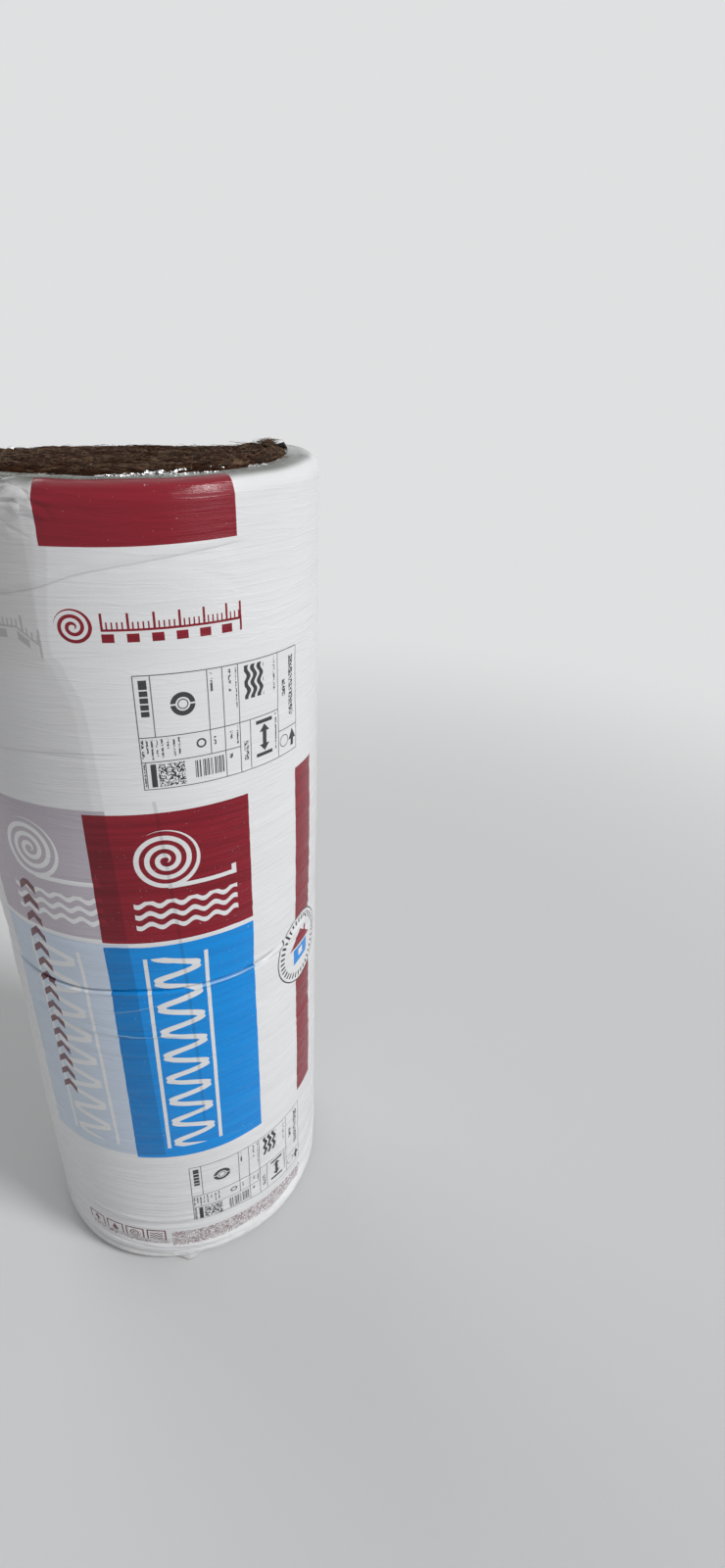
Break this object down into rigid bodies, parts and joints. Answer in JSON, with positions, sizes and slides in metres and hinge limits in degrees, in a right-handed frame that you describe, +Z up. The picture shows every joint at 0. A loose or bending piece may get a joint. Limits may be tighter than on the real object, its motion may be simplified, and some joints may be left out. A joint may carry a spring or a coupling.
{
  "type": "glass wool insulation roll",
  "caption": "Wrapped pack of faced glass-wool insulation: mats wound into rolls standing end to end in one plastic film that is turned in over both ends.",
  "frame": {"origin": "on the floor, in the middle of the pack's foot", "axes": "+Z up along the winding axis; -Y is the side with the printed colour blocks"},
  "size_m": [0.4549, 0.455, 1.205],
  "materials": {
    "glass_wool": "fibrous brown glass wool, matte",
    "foil": "thin crinkled aluminium foil, bright",
    "film": "white polyethylene film, satin, with colour blocks printed on it"
  },
  "bodies": {
    "root": {"wool_roll_lower": "glass_wool", "wool_roll_upper": "glass_wool", "foil_facing_lower": "foil", "foil_facing_upper": "foil", "film_wrap": "film"}
  },
  "joints": []
}
